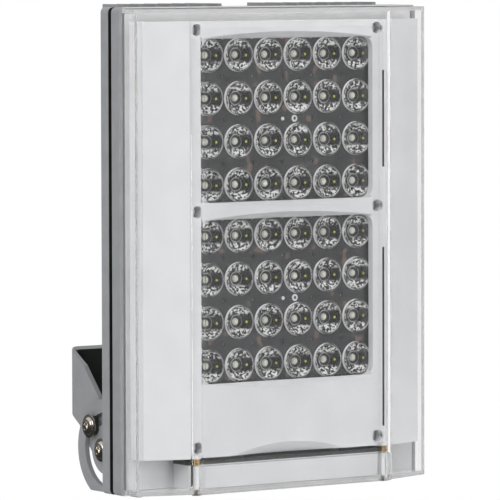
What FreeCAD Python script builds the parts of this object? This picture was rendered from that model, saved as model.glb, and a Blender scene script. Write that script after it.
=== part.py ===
import FreeCAD, Part
import math
import os

# Wall-mounted security floodlight. Millimetres, +Z up, the lamp looks along -Y.
# The pieces are drawn in the lamp's own frame: x across, y backwards from the raised front
# face, z up from the lamp's bottom edge. save() then moves them so that the origin is the
# centre of the bracket's wall bolts, on the wall.

os.makedirs("parts", exist_ok=True)
Vector = FreeCAD.Vector

# Overall body
body_width = 215.2
body_height = 286.0
body_corner = 3.0
running_gap = 0.1
seat_gap = 0.3

# Front cover, seen from above: raised centre, bevelled step, slanted wings, side walls
raised_width = 136.4
step_run = 4.0
step_depth = 4.0
wing_depth = 10.6
side_depth = 12.9
cover_side_inset = 2.5
cover_end_inset = 0.9
cover_wall = 2.5
cover_edge = 0.35
tongue = 2.0
groove_gap = 0.2
seal_thick = 0.8

# Rear casting, gasket and front frame, from front to back
frame_thick = 8.5
gasket_thick = 2.9
gasket_inset = 2.0
gasket_width = 6.0
gasket_corner = 1.5
housing_thick = 8.3
rim_width = 12.0
floor_thick = 4.0

# Lamp modules: two blocks of 6 by 4 lenses, each behind a window
columns = 6
rows = 4
window_low = 64.4
window_between = 10.1
window_top = 18.3
window_side = 6.7
window_corner = 6.5
row_share = 0.264
column_share = 0.174
lens_share = 0.467
lens_boss = 1.5
lens_plate = 2.0
lens_height = 11.2
lens_front = 14.0
plate_trim = 0.4
board_thick = 2.0
board_margin = 6.0
emitter_size = 3.5
emitter_thick = 0.7
leg_radius = 1.6
pedestal_margin = 9.0

# White bezel
bezel_front = 9.6
bezel_wall = 2.0
bezel_gap = 0.4
bezel_side_inset = 8.2
bezel_bottom = 21.5
bezel_top_inset = 8.3
channel_inset = 1.4
channel_lip = 1.4
collar_wall = 3.0
scoop_rise = 3.6
grip_share = 0.6
grip_rise = 6.4
grip_pad = 3.0
slot_width = 2.4
slot_outset = 0.9
upper_slot_low = 18.1
upper_slot_high = 30.5
lower_slot_low = 11.5
lower_slot_high = 28.3
pocket_radius = 3.5
pocket_inset = 3.4
pocket_wall = 1.1
pocket_depth = 8.0
pocket_floor = 2.0
pocket_end = 5.8
pocket_end_rise = 0.7
post_screw_depth = 7.0
post_hole_depth = 8.0

# Removable insert and the guide behind its tab
insert_inset = 3.6
insert_wall = 2.0
runner_width = 1.2
runner_depth = 1.5
insert_top_inset = 12.0
tab_height = 16.5
tab_wall = 2.5
tab_border = 1.2
tab_recess = 0.5
notch_gap = 0.5
guide_height = 16.5
guide_wall = 2.0
brass_radius = 2.0
brass_length = 5.3
brass_offset = 3.0
brass_depth = 7.4
brass_lug = 2.8
brass_lug_height = 2.0
insert_lug_height = 4.0
captive_reach = 5.0

# Screws: shank and head radii
small_shank = 1.45
small_hole = 1.5
small_head = 2.9
small_head_thick = 2.2
frame_screw_inset = 6.0
frame_screw_end = 20.0
frame_screw_depth = 3.6

# Fins: pitch and first one as shares of the half width, then the reach behind the casting and
# how it falls away to the sides
fin_pitch_share = 0.105
fin_first_share = 0.2138
fin_count = 7
fin_thick = 2.6
fin_tip = 1.6
fin_reach = 36.0
fin_drop = 2.3
fin_over = 1.6
fin_start = 0.0
fin_clear = 30.0

# Tilt pivot, ears and bracket
pivot_back = 34.7
pivot_up = 21.7
ear_inset = 28.1
ear_thick = 3.0
ear_radius = 30.3
ear_low = 25.6
ear_flange = 15.0
ear_screw_rise = 14.0
ear_screw_depth = 5.0
slot_radius = 18.7
arc_slot_width = 7.2
arc_slot_end = 95.0
lock_angle = 45.6
bolt_radius = 3.0
bolt_clearance = 0.05
bolt_flange = 7.2
bolt_flange_thick = 1.0
bolt_dome = 5.2
bolt_crown = 3.0
bolt_head = 3.6
spacer_thick = 2.7
spacer_radius = 6.3
bracket_thick = 3.0
wall_gap = 45.5
wall_low = 20.4
wall_high = 58.6
bracket_fold = 3.0
bracket_nose = 17.0
brow_back = 4.0
brow_up = 21.5
shoulder_back = 28.4
shoulder_up = 48.3
heel_back = 33.0
heel_up = 12.0
wall_slot_spacing = 100.0
wall_slot_width = 6.6
wall_slot_length = 14.0
wall_hole_radius = 5.25
washer_radius = 6.0
washer_thick = 1.2
nut_flats = 10.0
nut_thick = 5.0
nut_gap = 0.5

# Lower compartment, control board, leads and cable gland
bay_inset = 15.6
bay_low = 12.0
bay_high = 58.0
control_width = 112.0
control_height = 40.0
control_low = 14.0
control_thick = 1.6
control_lift = 6.0
control_edge = 5.0
standoff_radius = 3.0
driver_width = 22.0
driver_height = 18.0
driver_tall = 11.0
capacitor_radius = 6.0
capacitor_tall = 13.0
filter_radius = 5.0
filter_tall = 12.0
coil_width = 22.0
coil_height = 8.0
coil_tall = 5.0
terminal_width = 24.0
terminal_height = 10.0
terminal_edge = 10.0
terminal_pitch = 5.5
terminal_mouth = 3.6
lead_thick = 1.8
lead_width = 3.6
lead_edge = 10.0
lead_overlap = 8.0
gland_radius = 10.0
gland_up = 24.0
gland_flats = 24.0
gland_hex = 6.0
gland_bore = 4.5
gland_neck_wall = 2.0
gland_neck_length = 8.0
gland_nut_end = 3.0
seal_wall = 2.5
vent_radius = 3.0
vent_cap = 6.5
vent_cap_thick = 3.5
vent_bore = 1.0
vent_up = 50.0

# Places worked out from the sizes above
half = body_width / 2
fin_pitch = half * fin_pitch_share
fin_first = half * fin_first_share
raised_half = raised_width / 2
foot_half = raised_half + step_run
cover_half = half - cover_side_inset
wing_run = cover_half - foot_half
wing_end = step_depth + wing_depth
frame_front = wing_end + side_depth
frame_back = frame_front + frame_thick
casting_front = frame_back + gasket_thick
casting_back = casting_front + housing_thick
cover_low = cover_end_inset
cover_high = body_height - cover_end_inset
pivot_y = casting_back + pivot_back
wall_y = pivot_y + wall_gap
origin_up = pivot_up + (wall_low + wall_high) / 2
plate_front = lens_front + lens_boss
plate_back = plate_front + lens_plate
board_front = lens_front + lens_height
board_back = board_front + board_thick
bezel_half = half - bezel_side_inset
bezel_top = body_height - bezel_top_inset
window_height = (body_height - window_low - window_between - window_top) / 2
window_half = raised_half - window_side
row_pitch = window_height * row_share
column_pitch = window_half * 2 * column_share
lens_radius = min(row_pitch, column_pitch) * lens_share
lens_neck_radius = lens_radius * 0.82
lens_foot_radius = lens_radius * 0.46
module_heights = {
    "upper": body_height - window_top - window_height / 2,
    "lower": window_low + window_height / 2,
}
plate_half_width = window_half + collar_wall
plate_half_height = window_height / 2 - plate_trim
channel_half = foot_half - channel_inset
slot_offset = raised_half + slot_outset
pocket_offset = raised_half - pocket_inset
pocket_middle = window_low + window_height + window_between / 2
pocket_heights = (bezel_bottom + pocket_end, pocket_middle, bezel_top - pocket_end + pocket_end_rise)
insert_half = raised_half - insert_inset
insert_top = body_height - insert_top_inset
guide_half = foot_half - 0.2
ear_x = half - ear_inset
bay_half = half - bay_inset
frame_screw_heights = (frame_screw_end, body_height / 2, body_height - frame_screw_end)


def slab(x, y, z):
    """A box between pairs of limits along x, y and z."""
    return Part.makeBox(x[1] - x[0], y[1] - y[0], z[1] - z[0], Vector(x[0], y[0], z[0]))


def rod(radius, start, axis, length):
    """A cylinder from a start point along an axis."""
    return Part.makeCylinder(radius, length, Vector(*start), Vector(*axis))


def wire(points):
    """A closed outline through points."""
    return Part.makePolygon([Vector(*p) for p in points] + [Vector(*points[0])])


def upright(points, z):
    """A plan outline of (x, y) points, raised between two heights."""
    face = Part.Face(wire([(x, y, z[0]) for x, y in points]))
    return face.extrude(Vector(0, 0, z[1] - z[0]))


def sideways(points, x):
    """A side outline of (y, z) points, carried between two x limits."""
    face = Part.Face(wire([(x[0], y, z) for y, z in points]))
    return face.extrude(Vector(x[1] - x[0], 0, 0))


def ring(radius, start, axis, sides):
    """A regular outline of some sides round an axis, its corners on the radius."""
    along = Vector(*axis)
    first = Vector(0, 0, 1) if abs(along.z) < 0.5 else Vector(1, 0, 0)
    second = along.cross(first)
    middle = Vector(*start)
    points = []
    for turn in range(sides):
        angle = 2 * math.pi * (turn + 0.5) / sides
        points.append(middle + first * (radius * math.cos(angle)) + second * (radius * math.sin(angle)))
    return Part.makePolygon(points + points[:1])


def post(radius, start, axis, length, sides=12):
    """A bar with flat sides, its corners on the radius."""
    return Part.Face(ring(radius, start, axis, sides)).extrude(Vector(*axis) * length)


def drill(radius, start, axis, length, sides=8):
    """A hole's shape with flat sides, each touching the radius from outside."""
    return post(radius / math.cos(math.pi / sides), start, axis, length, sides)


def taper(low, high, start, axis, length, sides=12):
    """A flat-sided bar whose corner radius goes from low at the start to high at the end."""
    end = Vector(*start) + Vector(*axis) * length
    first = ring(low, start, axis, sides)
    last = ring(high, end, axis, sides)
    near = [v.Point for v in first.OrderedVertexes]
    far = [v.Point for v in last.OrderedVertexes]
    faces = [Part.Face(first), Part.Face(last)]
    for index in range(sides):
        after = (index + 1) % sides
        faces.append(Part.Face(wire([near[index], near[after], far[after], far[index]])))
    return Part.Solid(Part.Shell(faces))


def rounded(half_width, z, y, radius, steps=5):
    """A rectangle about x = 0 with rounded corners, between two heights and two depths."""
    points = []
    corners = ((1, z[1], 0), (-1, z[1], 90), (-1, z[0], 180), (1, z[0], 270))
    for side, height, start in corners:
        inner_x = side * (half_width - radius)
        inner_z = height - radius if height == z[1] else height + radius
        for step in range(steps + 1):
            angle = math.radians(start + 90 * step / steps)
            points.append((inner_x + radius * math.cos(angle), y[0], inner_z + radius * math.sin(angle)))
    return Part.Face(wire(points)).extrude(Vector(0, y[1] - y[0], 0))


def arch(half_width, edge, rise, way, y, sink, steps=10):
    """A cut under a shallow arch over an edge, sinking with depth until it's level again."""
    points = [(-half_width, y, edge - way), (half_width, y, edge - way)]
    for step in range(steps + 1):
        share = 1 - 2 * step / steps
        points.append((half_width * share, y, edge + way * rise * (1 - share ** 2)))
    return Part.Face(wire(points)).extrude(Vector(0, sink, -way * rise))


def mirrored(shape):
    """The same shape on the other side of x = 0."""
    return shape.mirror(Vector(0, 0, 0), Vector(1, 0, 0))


def both(shape):
    """A shape and its mirror image."""
    return [shape, mirrored(shape)]


def fused(shapes):
    """One solid made from touching shapes."""
    first = shapes[0]
    for shape in shapes[1:]:
        first = first.fuse(shape)
    return first.removeSplitter()


def inward(points, distance):
    """An open outline moved to its right-hand side, corners kept sharp."""
    lines = []
    for (ax, ay), (bx, by) in zip(points, points[1:]):
        length = math.hypot(bx - ax, by - ay)
        nx, ny = -(by - ay) / length, (bx - ax) / length
        lines.append((ax + nx * distance, ay + ny * distance, bx - ax, by - ay))
    moved = [(lines[0][0], lines[0][1])]
    for (ax, ay, adx, ady), (bx, by, bdx, bdy) in zip(lines, lines[1:]):
        t = ((bx - ax) * bdy - (by - ay) * bdx) / (adx * bdy - ady * bdx)
        moved.append((ax + t * adx, ay + t * ady))
    x, y, dx, dy = lines[-1]
    moved.append((x + dx, y + dy))
    return moved


def save(name, shape):
    """Move a piece, or a group of pieces, to the wall frame and write it."""
    if isinstance(shape, list):
        shape = Part.makeCompound(shape)
    shape = shape.copy()
    shape.translate(Vector(0, -wall_y, -origin_up))
    shape.exportStep("parts/" + name + ".step")


def small_screw(x, z, seat, length, backwards=1):
    """A pan-head screw whose head stands on the depth seat; it points backwards or forwards."""
    head_start = seat - backwards * small_head_thick
    head = post(small_head, (x, head_start, z), (0, backwards, 0), small_head_thick, 8)
    shank = post(small_shank, (x, head_start, z), (0, backwards, 0), small_head_thick + length, 6)
    return head.fuse(shank)


# Front cover
cover_outline = [
    (-cover_half, frame_front + tongue),
    (-cover_half, wing_end),
    (-foot_half, step_depth),
    (-raised_half, 0),
    (raised_half, 0),
    (foot_half, step_depth),
    (cover_half, wing_end),
    (cover_half, frame_front + tongue),
]
cover_hollow = inward(cover_outline, cover_wall)
cover_solid = upright(cover_outline, (cover_low, cover_high))
front_edges = []
for edge in cover_solid.Edges:
    middle = edge.CenterOfMass
    if middle.y < frame_front and (middle.y < wing_end + 1 or abs(edge.tangentAt(0).y) > 0.9):
        front_edges.append(edge)
cover_solid = cover_solid.makeChamfer(cover_edge, front_edges)
past = [(x, y + (1 if y > frame_front else 0)) for x, y in cover_hollow]
hollow = upright(past, (cover_low + cover_wall, cover_high - cover_wall))
insert_back = bezel_front - seat_gap
notch_half = foot_half + seat_gap
notch_top = cover_low + tab_height + notch_gap
notch = slab((-notch_half, notch_half), (-1, insert_back + seat_gap), (0, notch_top))
front_cover = cover_solid.cut(hollow).cut(notch)
save("front_cover", front_cover)

# Front frame: a flat ring with a groove that takes the cover's tongue
frame_body = rounded(half, (0, body_height), (frame_front, frame_back), body_corner, 4)
inner_half = half - rim_width
frame_opening = slab(
    (-inner_half, inner_half),
    (frame_front - 1, frame_back + 1),
    (rim_width, body_height - rim_width),
)
groove_y = (frame_front, frame_front + tongue + seal_thick)
groove_outer = slab(
    (-cover_half - groove_gap, cover_half + groove_gap),
    groove_y,
    (cover_low - groove_gap, cover_high + groove_gap),
)
groove_core_half = cover_half - cover_wall - groove_gap
groove_core = slab(
    (-groove_core_half, groove_core_half),
    groove_y,
    (cover_low + cover_wall + groove_gap, cover_high - cover_wall - groove_gap),
)
groove = groove_outer.cut(groove_core)
frame_screw_x = half - frame_screw_inset
frame_holes = []
for z in frame_screw_heights:
    hole = drill(small_hole, (frame_screw_x, frame_back, z), (0, -1, 0), frame_screw_depth)
    frame_holes += both(hole)
front_frame = frame_body.cut(frame_opening).cut(groove).cut(Part.makeCompound(frame_holes))
save("front_frame", front_frame)

# Cover seal: the bead that the tongue sits on in the groove
seal_y = (groove_y[1] - seal_thick, groove_y[1])
seal_outer = slab((-cover_half, cover_half), seal_y, (cover_low, cover_high))
seal_core_half = cover_half - cover_wall
seal_core = slab(
    (-seal_core_half, seal_core_half),
    seal_y,
    (cover_low + cover_wall, cover_high - cover_wall),
)
save("cover_seal", seal_outer.cut(seal_core))

# Body gasket: the dark line round the lamp between the frame and the casting
gasket_half = half - gasket_inset
gasket_y = (frame_back, casting_front)
gasket_outer = rounded(
    gasket_half, (gasket_inset, body_height - gasket_inset), gasket_y, gasket_corner, 3
)
gasket_in = gasket_inset + gasket_width
gasket_core = slab(
    (-half + gasket_in, half - gasket_in), gasket_y, (gasket_in, body_height - gasket_in)
)
gasket_holes = []
for z in frame_screw_heights:
    hole = drill(small_hole + seat_gap, (frame_screw_x, frame_back, z), (0, 1, 0), gasket_thick)
    gasket_holes += both(hole)
save("body_gasket", gasket_outer.cut(gasket_core).cut(Part.makeCompound(gasket_holes)))

# Rear casting: plate, pedestal under the boards, bay for the electronics, bosses and fins
plate = rounded(half, (0, body_height), (casting_front, casting_back), body_corner, 4)
pedestal_half = plate_half_width + pedestal_margin
pedestal_low = module_heights["lower"] - window_height / 2 - 2
pedestal_high = body_height - rim_width - 1
pedestal = slab(
    (-pedestal_half, pedestal_half), (board_back, casting_front), (pedestal_low, pedestal_high)
)
bay = slab(
    (-bay_half, bay_half), (casting_front, casting_back - floor_thick), (bay_low, bay_high)
)
bay_floor = casting_back - floor_thick
post_radius = pocket_radius + pocket_wall
post_top = bezel_front + pocket_depth + pocket_floor
solids = [plate.cut(bay), pedestal]
drilled = []
for z in pocket_heights:
    foot = bay_floor if z < bay_high else board_back
    solids += both(post(post_radius, (pocket_offset, post_top, z), (0, 1, 0), foot - post_top))
    drilled += both(drill(small_hole, (pocket_offset, post_top, z), (0, 1, 0), post_hole_depth))
ear_top = pivot_up + ear_radius
for index in range(fin_count):
    x = fin_first + index * fin_pitch
    reach = fin_reach - index * fin_drop
    back = casting_back + reach
    near_ear = x + fin_thick > ear_x - bracket_thick - fin_pitch / 2
    low = ear_top + fin_clear if near_ear else fin_start
    outline = [
        (x - fin_thick / 2, casting_back - 0.5),
        (x + fin_thick / 2, casting_back - 0.5),
        (x + fin_tip / 2, back),
        (x - fin_tip / 2, back),
    ]
    solids += both(upright(outline, (low, body_height + fin_over)))
for z in frame_screw_heights:
    length = housing_thick + 2
    drilled += both(
        drill(small_hole + seat_gap, (frame_screw_x, casting_front - 1, z), (0, 1, 0), length)
    )
ear_screw_x = ear_x + ear_thick + ear_flange / 2
ear_screw_heights = (pivot_up - ear_screw_rise, pivot_up + ear_screw_rise)
for z in ear_screw_heights:
    drilled += both(drill(small_hole, (ear_screw_x, casting_back, z), (0, -1, 0), ear_screw_depth))
board_screw_x = column_pitch * 2
board_screw_depth = 6.0
for mid in module_heights.values():
    hole = drill(small_hole, (board_screw_x, board_back, mid), (0, 1, 0), board_screw_depth)
    drilled += both(hole)
control_mid = control_low + control_height / 2
control_holes = [
    (x, z)
    for x in (-control_width / 2 + control_edge, control_width / 2 - control_edge)
    for z in (control_low + control_edge, control_low + control_height - control_edge)
]
board_y = (bay_floor - control_lift - control_thick, bay_floor - control_lift)
for x, z in control_holes:
    solids.append(post(standoff_radius, (x, board_y[1], z), (0, 1, 0), control_lift, 8))
    drilled.append(drill(small_hole, (x, board_y[1], z), (0, 1, 0), control_lift))
floor_cut = floor_thick + 2
drilled.append(drill(gland_radius, (0, bay_floor - 1, gland_up), (0, 1, 0), floor_cut, 16))
drilled.append(drill(vent_radius, (0, bay_floor - 1, vent_up), (0, 1, 0), floor_cut, 12))
heatsink_housing = fused(solids).cut(Part.makeCompound(drilled))
save("heatsink_housing", heatsink_housing)

# Frame screws, from the back
frame_screws = []
for z in frame_screw_heights:
    length = housing_thick + gasket_thick + frame_screw_depth - seat_gap
    frame_screws += both(small_screw(frame_screw_x, z, casting_back, length, -1))
save("frame_screws", frame_screws)

# White bezel: a folded tray behind the cover, with windows, pockets and grip
wing_inner = inward(cover_outline, cover_wall + bezel_gap)
slope = wing_depth / wing_run
wing_x, wing_y = wing_inner[6]
outer_y = wing_y - (wing_x - bezel_half) * slope
lip_x = channel_half + channel_lip
lip_y = wing_y - (wing_x - lip_x) * slope
bezel_right = [
    (channel_half, bezel_front),
    (lip_x, lip_y),
    (bezel_half, outer_y),
    (bezel_half, frame_front),
]
bezel_left = [(-x, y) for x, y in reversed(bezel_right)]
bezel_line = bezel_left + bezel_right
bezel_back = inward(bezel_line, bezel_wall)
bezel_shell = upright(bezel_line + bezel_back[::-1], (bezel_bottom, bezel_top))
collar_back = lens_front
bezel_parts = [bezel_shell]
bezel_cuts = []
scoop_depth = collar_back - bezel_front
for mid in module_heights.values():
    low = mid - window_height / 2
    high = mid + window_height / 2
    collar = rounded(
        window_half + collar_wall,
        (low - collar_wall, high + collar_wall),
        (bezel_front + bezel_wall / 2, collar_back),
        window_corner + collar_wall / 2,
        3,
    )
    bezel_parts.append(collar)
    bezel_cuts.append(rounded(window_half, (low, high), (0, frame_front), window_corner, 5))
    # The arched scoops run from the panel down to the window's edge
    for edge_z, way in ((high, 1), (low, -1)):
        bezel_cuts.append(
            arch(window_half - 1.0, edge_z, scoop_rise, way, bezel_front, scoop_depth)
        )
for z in pocket_heights:
    bezel_parts += both(
        post(post_radius, (pocket_offset, bezel_front + 1, z), (0, 1, 0), post_top - bezel_front - 1)
    )
    bezel_cuts += both(
        drill(pocket_radius, (pocket_offset, bezel_front - 1, z), (0, 1, 0), pocket_depth + 1, 12)
    )
    pocket_reach = pocket_depth + pocket_floor + 1
    bezel_cuts += both(
        drill(small_hole + groove_gap, (pocket_offset, bezel_front, z), (0, 1, 0), pocket_reach)
    )
grip_half = raised_half * grip_share
grip_y = (bezel_front + bezel_wall / 2, bezel_front + bezel_wall + grip_pad)
bezel_parts.append(
    slab((-grip_half - 2, grip_half + 2), grip_y, (bezel_bottom, bezel_bottom + grip_rise + 2))
)
grip_sink = bezel_wall + grip_pad - 1.0
bezel_cuts.append(arch(grip_half, bezel_bottom, grip_rise, 1, bezel_front, grip_sink))
brass_x = channel_half - brass_offset
bezel_parts += both(
    post(brass_lug, (brass_x, brass_depth, bezel_bottom), (0, 0, 1), brass_lug_height)
)
seat_reach = brass_lug_height + 1.3
bezel_cuts += both(
    drill(brass_radius + bolt_clearance, (brass_x, brass_depth, bezel_bottom - 1), (0, 0, 1), seat_reach)
)
slot_x = (slot_offset - slot_width / 2, slot_offset + slot_width / 2)
upper_window_low = module_heights["upper"] - window_height / 2
upper_slot = (upper_window_low + upper_slot_low, bezel_top - upper_slot_high)
lower_slot = (bezel_bottom + lower_slot_low, module_heights["lower"] + lower_slot_high)
for z in (upper_slot, lower_slot):
    bezel_cuts += both(slab(slot_x, (bezel_front - 1, bezel_front + bezel_wall + 0.5), z))
bezel = fused(bezel_parts).cut(Part.makeCompound(bezel_cuts))
save("bezel", bezel)

bezel_screws = []
for z in pocket_heights:
    seat = bezel_front + pocket_depth
    bezel_screws += both(small_screw(pocket_offset, z, seat, pocket_floor + post_screw_depth))
save("bezel_screws", bezel_screws)

# Lens arrays: a moulded plate with a round boss in front of it and a cone behind it per lens
lens_places = [
    ((i - (columns - 1) / 2) * column_pitch, (j - (rows - 1) / 2) * row_pitch)
    for i in range(columns)
    for j in range(rows)
]
leg_places = [(x, z) for x in (-board_screw_x, board_screw_x) for z in (-1.5, 1.5)]
board_half_width = plate_half_width - board_margin
board_half_height = plate_half_height
foot_y = board_front - emitter_thick - running_gap
for side, mid in module_heights.items():
    solids = [
        slab(
            (-plate_half_width, plate_half_width),
            (plate_front, plate_back),
            (mid - plate_half_height, mid + plate_half_height),
        )
    ]
    for x, z in lens_places:
        solids.append(post(lens_radius, (x, lens_front, mid + z), (0, 1, 0), lens_boss, 10))
        solids.append(
            taper(
                lens_neck_radius,
                lens_foot_radius,
                (x, plate_back, mid + z),
                (0, 1, 0),
                foot_y - plate_back,
                6,
            )
        )
    for x, turn in leg_places:
        z = mid + turn * row_pitch
        solids.append(post(leg_radius, (x, plate_back, z), (0, 1, 0), board_front - plate_back, 6))
    save("lens_array_" + side, fused(solids))

    board = slab(
        (-board_half_width, board_half_width),
        (board_front, board_back),
        (mid - board_half_height, mid + board_half_height),
    )
    screw_start = (board_screw_x, board_front - 1, mid)
    holes = both(drill(small_hole + groove_gap, screw_start, (0, 1, 0), board_thick + 2))
    save("led_board_" + side, board.cut(Part.makeCompound(holes)))

    emitters = []
    reach = emitter_size / 2
    for x, z in lens_places:
        emitters.append(
            slab(
                (x - reach, x + reach),
                (board_front - emitter_thick, board_front),
                (mid + z - reach, mid + z + reach),
            )
        )
    save("led_emitters_" + side, emitters)

board_screws = []
for mid in module_heights.values():
    length = board_thick + board_screw_depth - seat_gap
    board_screws += both(small_screw(board_screw_x, mid, board_front, length))
save("led_board_screws", board_screws)

# Removable insert: a clear sheet with two runners, and the tab that closes the cover's notch
sheet_front = cover_wall + seat_gap
sheet_back = sheet_front + insert_wall
tab_low = cover_low
tab_high = tab_low + tab_height
tab_outline = [
    (-foot_half, insert_back),
    (-foot_half, step_depth),
    (-raised_half, 0),
    (raised_half, 0),
    (foot_half, step_depth),
    (foot_half, insert_back),
]
tab_hollow = inward(tab_outline, tab_wall)
tab_hollow = [(x, y + (1 if y > step_depth + tab_wall else 0)) for x, y in tab_hollow]
tab = upright(tab_outline, (tab_low, tab_high)).cut(
    upright(tab_hollow, (tab_low + tab_wall, tab_high + 1))
)
tab_panel = slab(
    (-raised_half + tab_border, raised_half - tab_border),
    (-1, tab_recess),
    (tab_low + tab_border, tab_high - tab_border),
)
sheet_low = tab_low + tab_wall / 2
sheet = slab((-insert_half, insert_half), (cover_wall - 1.0, sheet_back), (sheet_low, tab_high))
sheet = sheet.fuse(slab((-insert_half, insert_half), (sheet_front, sheet_back), (tab_low, insert_top)))
runner = slab(
    (insert_half - runner_width, insert_half),
    (sheet_front, sheet_back + runner_depth),
    (tab_low, insert_top),
)
insert_lug = slab(
    (insert_half - 3.0, foot_half - 1.0),
    (step_depth, insert_back),
    (tab_low, tab_low + insert_lug_height),
)
lug_start = (brass_x, brass_depth, tab_low - 1)
lug_hole = drill(small_hole + running_gap, lug_start, (0, 0, 1), insert_lug_height + 2)
insert_parts = [tab.cut(tab_panel), sheet] + both(runner) + both(insert_lug)
lens_insert = fused(insert_parts).cut(Part.makeCompound(both(lug_hole)))
save("lens_insert", lens_insert)

# Lower guide: the channel behind the tab, with a low wall out to each side, on the front frame
guide_y = (insert_back + 2 * seat_gap, frame_front)
guide_z = (cover_low + cover_wall, cover_low + cover_wall + guide_height)
guide = slab((-guide_half, guide_half), guide_y, guide_z)
guide_inside = slab(
    (-guide_half + guide_wall, guide_half - guide_wall),
    (guide_y[0] + guide_wall, guide_y[1] + 1),
    (guide_z[0] + guide_wall, guide_z[1] + 1),
)
guide_reach = cover_half - cover_wall - bezel_gap
side_wall = slab(
    (-guide_reach, guide_reach),
    (frame_front - guide_wall, frame_front),
    (guide_z[0], bezel_bottom - seat_gap),
)
side_wall = side_wall.cut(
    slab((-guide_half + 1, guide_half - 1), (0, frame_front + 1), (0, body_height))
)
save("lower_guide", fused([guide.cut(guide_inside), side_wall]))

# Tilt ears: plates with an arc slot about the pivot, folded out onto the casting
ear_y = (casting_back, pivot_y)
ear_outer = ear_x + ear_thick
ear_bottom = pivot_up - ear_low
ear_plate = slab((ear_x, ear_outer), ear_y, (ear_bottom, ear_top))
ear_disc = post(ear_radius, (ear_x, pivot_y, pivot_up), (1, 0, 0), ear_thick, 56)
ear_reach = (casting_back, pivot_y + ear_radius + 1)
ear_trim = slab((ear_x - 1, ear_outer + 1), ear_reach, (ear_bottom, ear_top + 1))
ear_disc = ear_disc.common(ear_trim)
flange = slab(
    (ear_x, ear_outer + ear_flange), (casting_back, casting_back + ear_thick), (2.0, ear_top - 2)
)
arc_start = (ear_x - 1, pivot_y, pivot_up)
arc_outer = drill(slot_radius + arc_slot_width / 2, arc_start, (1, 0, 0), ear_thick + 2, 44)
arc_inner = post(slot_radius - arc_slot_width / 2, arc_start, (1, 0, 0), ear_thick + 2, 44)
arc = arc_outer.cut(arc_inner)
end = math.radians(arc_slot_end)
wedge_reach = ear_radius * 3
wedge = sideways(
    [
        (pivot_y, pivot_up),
        (pivot_y + wedge_reach * math.cos(end), pivot_up + wedge_reach * math.sin(end)),
        (pivot_y + wedge_reach, pivot_up + wedge_reach),
        (pivot_y + wedge_reach, pivot_up - wedge_reach),
        (pivot_y + wedge_reach * math.cos(end), pivot_up - wedge_reach * math.sin(end)),
    ],
    (ear_x - 1, ear_outer + 1),
)
arc = arc.common(wedge)
for sign in (1, -1):
    round_end = (
        ear_x - 1,
        pivot_y + slot_radius * math.cos(end),
        pivot_up + sign * slot_radius * math.sin(end),
    )
    arc = arc.fuse(drill(arc_slot_width / 2, round_end, (1, 0, 0), ear_thick + 2, 16))
pivot_hole = rod(
    bolt_radius + bolt_clearance, (ear_x - 1, pivot_y, pivot_up), (1, 0, 0), ear_thick + 2
)
ear_holes = [
    drill(small_hole + groove_gap, (ear_screw_x, casting_back - 1, z), (0, 1, 0), ear_thick + 2)
    for z in ear_screw_heights
]
ear = fused([ear_plate, ear_disc, flange]).cut(arc).cut(Part.makeCompound([pivot_hole] + ear_holes))
save("tilt_ear_right", ear)
save("tilt_ear_left", mirrored(ear))

ear_screws = []
for z in ear_screw_heights:
    length = ear_thick + ear_screw_depth - seat_gap
    ear_screws += both(small_screw(ear_screw_x, z, casting_back + ear_thick, length, -1))
save("ear_screws", ear_screws)

# Bracket: one folded strip, side plates inside the ears, slots for the wall
side_outer = ear_x - running_gap
side_inner = side_outer - bracket_thick
profile = [
    (wall_y, pivot_up + wall_low),
    (wall_y, pivot_up + wall_high),
    (pivot_y + shoulder_back, pivot_up + shoulder_up),
    (pivot_y + brow_back, pivot_up + brow_up),
    (pivot_y - bracket_nose * 0.8, pivot_up + bracket_nose * 0.6),
    (pivot_y + bracket_nose * 0.6, pivot_up - bracket_nose * 0.8),
    (pivot_y + heel_back, pivot_up + heel_up),
]
side_blank = sideways(profile, (-side_outer, side_outer))
nose = post(bracket_nose, (-side_outer, pivot_y, pivot_up), (1, 0, 0), 2 * side_outer, 48)
blank = fused([side_blank, nose])


def fold(half_width, back, radius, steps=6):
    """One side of the folded strip's plan: forward end, then round the corner at the back."""
    points = [(half_width, casting_back)]
    for step in range(steps + 1):
        angle = math.pi / 2 * step / steps
        x = half_width - radius + radius * math.cos(angle)
        points.append((x, back - radius + radius * math.sin(angle)))
    return points


fold_outer = fold(side_outer, wall_y, bracket_fold + bracket_thick)
fold_inner = fold(side_inner, wall_y - bracket_thick, bracket_fold)
strip_plan = fold_outer + [(-x, y) for x, y in reversed(fold_outer)]
strip_plan += [(-x, y) for x, y in fold_inner] + fold_inner[::-1]
strip = upright(strip_plan, (ear_bottom - ear_radius, ear_top + wall_high))
wall_mid = pivot_up + (wall_low + wall_high) / 2
bracket_holes = []
slot_straight = wall_slot_length - wall_slot_width
wall_start = wall_y - 2 * bracket_thick
wall_cut = 2 * bracket_thick + 1
for sign in (1, -1):
    middle = sign * wall_slot_spacing / 2
    bracket_holes.append(
        slab(
            (middle - slot_straight / 2, middle + slot_straight / 2),
            (wall_y - 2 * bracket_thick, wall_y + 1),
            (wall_mid - wall_slot_width / 2, wall_mid + wall_slot_width / 2),
        )
    )
    for end_x in (middle - slot_straight / 2, middle + slot_straight / 2):
        bracket_holes.append(
            rod(wall_slot_width / 2, (end_x, wall_start, wall_mid), (0, 1, 0), wall_cut)
        )
bracket_holes.append(rod(wall_hole_radius, (0, wall_start, wall_mid), (0, 1, 0), wall_cut))
lock = math.radians(lock_angle)
lock_y = pivot_y + slot_radius * math.cos(lock)
lock_z = pivot_up + slot_radius * math.sin(lock)
cross_width = 2 * side_outer + 2
for y, z in ((pivot_y, pivot_up), (lock_y, lock_z)):
    bracket_holes.append(
        drill(bolt_radius + bolt_clearance, (-side_outer - 1, y, z), (1, 0, 0), cross_width, 12)
    )
bracket = blank.common(strip)
for hole in bracket_holes:
    bracket = bracket.cut(hole)
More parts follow.
